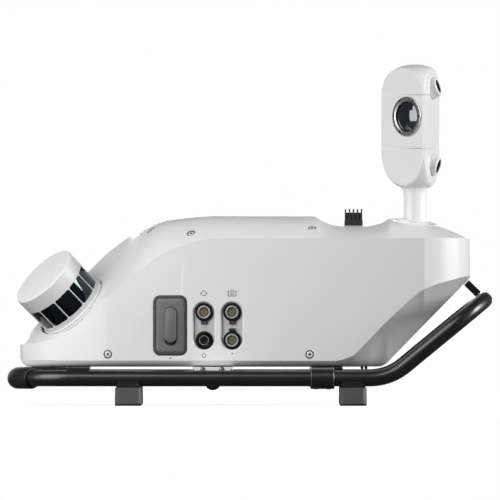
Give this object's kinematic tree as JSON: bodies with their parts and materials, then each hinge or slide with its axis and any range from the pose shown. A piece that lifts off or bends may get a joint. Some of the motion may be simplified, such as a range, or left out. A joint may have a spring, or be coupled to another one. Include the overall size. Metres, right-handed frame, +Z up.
{
  "type": "mobile laser scanner",
  "caption": "Roof-mounted laser scanner: tapered white housing in a black tube frame, spinning scan drum on the nose, camera head on a mast.",
  "frame": {"origin": "on the ground plane under the middle of the object's box", "axes": "+X towards the camera mast and tail, -X towards the scan drum, -Y towards the side with the connectors, +Z up"},
  "size_m": [0.6386, 0.327, 0.4491],
  "materials": {
    "white_shell": "satin white moulded shell",
    "black_frame": "black satin coated tube",
    "black_rubber": "matte black rubber",
    "black_fittings": "black moulded plastic",
    "heat_sink_metal": "black anodised aluminium",
    "grey_plastic": "mid-grey moulded plastic",
    "recess_grey": "light grey recess floor",
    "steel": "brushed steel",
    "brass_contacts": "gold-plated contacts",
    "dark_glass": "dark coated glass",
    "alloy": "machined aluminium",
    "board": "green circuit board",
    "copper": "copper windings"
  },
  "bodies": {
    "housing": {"hood_shell": "white_shell", "base_pan": "white_shell", "chassis_plate": "alloy", "main_board": "board", "inertial_unit": "alloy", "power_module": "grey_plastic", "storage_bay": "grey_plastic", "heat_sink": "heat_sink_metal", "connector_panel_front": "recess_grey", "connector_panel_rear": "recess_grey", "connector_antenna": "steel", "connector_camera": "steel", "connector_data": "steel", "connector_insert_antenna": "brass_contacts", "connector_insert_camera": "brass_contacts", "connector_insert_data": "brass_contacts", "button_bezel": "black_fittings", "mast_tube": "white_shell", "mast_clamp": "alloy", "camera_shell_bottom": "white_shell", "camera_shell_middle": "white_shell", "camera_shell_top": "white_shell", "camera_core": "alloy", "side_lens_ring_near": "steel", "side_lens_ring_far": "steel", "side_lens_glass_near": "dark_glass", "side_lens_glass_far": "dark_glass", "small_lens_hood_upper": "white_shell", "small_lens_hood_lower": "white_shell", "small_lens_glass_upper": "dark_glass", "small_lens_glass_lower": "dark_glass", "scan_seat_ring": "black_fittings", "scan_motor_stator": "copper", "scan_bearing": "steel", "frame_tube_front": "black_frame", "frame_tube_rear": "black_frame", "bumper_sleeve": "black_rubber", "tube_coupling_near": "black_frame", "tube_coupling_far": "black_frame", "nose_bracket": "black_frame", "centre_bracket": "white_shell", "rear_strut": "black_frame", "foot_block_front_near": "grey_plastic", "foot_block_front_far": "grey_plastic", "foot_block_rear_near": "grey_plastic", "foot_block_rear_far": "grey_plastic", "foot_clamp_front_near": "black_frame", "foot_clamp_front_far": "black_frame", "foot_clamp_rear_near": "black_frame", "foot_clamp_rear_far": "black_frame"},
    "scan_head": {"scan_base": "white_shell", "scan_cage": "white_shell", "scan_window": "dark_glass", "scan_cap": "white_shell", "scan_spindle": "alloy"},
    "cartridge_body": {"cartridge": "grey_plastic"},
    "cartridge_grip_body": {"cartridge_grip": "grey_plastic"},
    "power_button_body": {"power_button": "black_fittings"},
    "knob_near": {"bracket_knob_near": "grey_plastic"},
    "knob_far": {"bracket_knob_far": "grey_plastic"}
  },
  "joints": [
    {"name": "scan_spin", "type": "hinge", "parent": "housing", "child": "scan_head", "pos_m": [-0.2334, -0.003, 0.1289], "axis": [-0.6532, -0.3286, 0.6822], "continuous": true},
    {"name": "cartridge_slide", "type": "slide", "parent": "housing", "child": "cartridge_body", "axis": [-0.1337, -0.991, 0], "range_m": [0, 0.075]},
    {"name": "grip_fold", "type": "hinge", "parent": "cartridge_body", "child": "cartridge_grip_body", "pos_m": [-0.10525, -0.07573, 0.1294], "axis": [-0.991, 0.1337, 0], "range_deg": [0, 50]},
    {"name": "power_press", "type": "slide", "parent": "housing", "child": "power_button_body", "axis": [0.1337, 0.991, 0], "range_m": [0, 0.0015], "stiffness_N_per_m": 600},
    {"name": "knob_near_turn", "type": "hinge", "parent": "housing", "child": "knob_near", "pos_m": [-0.0488, -0.1272, 0.0317], "axis": [0, -1, 0], "range_deg": [-180, 180]},
    {"name": "knob_far_turn", "type": "hinge", "parent": "housing", "child": "knob_far", "pos_m": [-0.0488, 0.1272, 0.0317], "axis": [0, 1, 0], "range_deg": [-180, 180]}
  ]
}
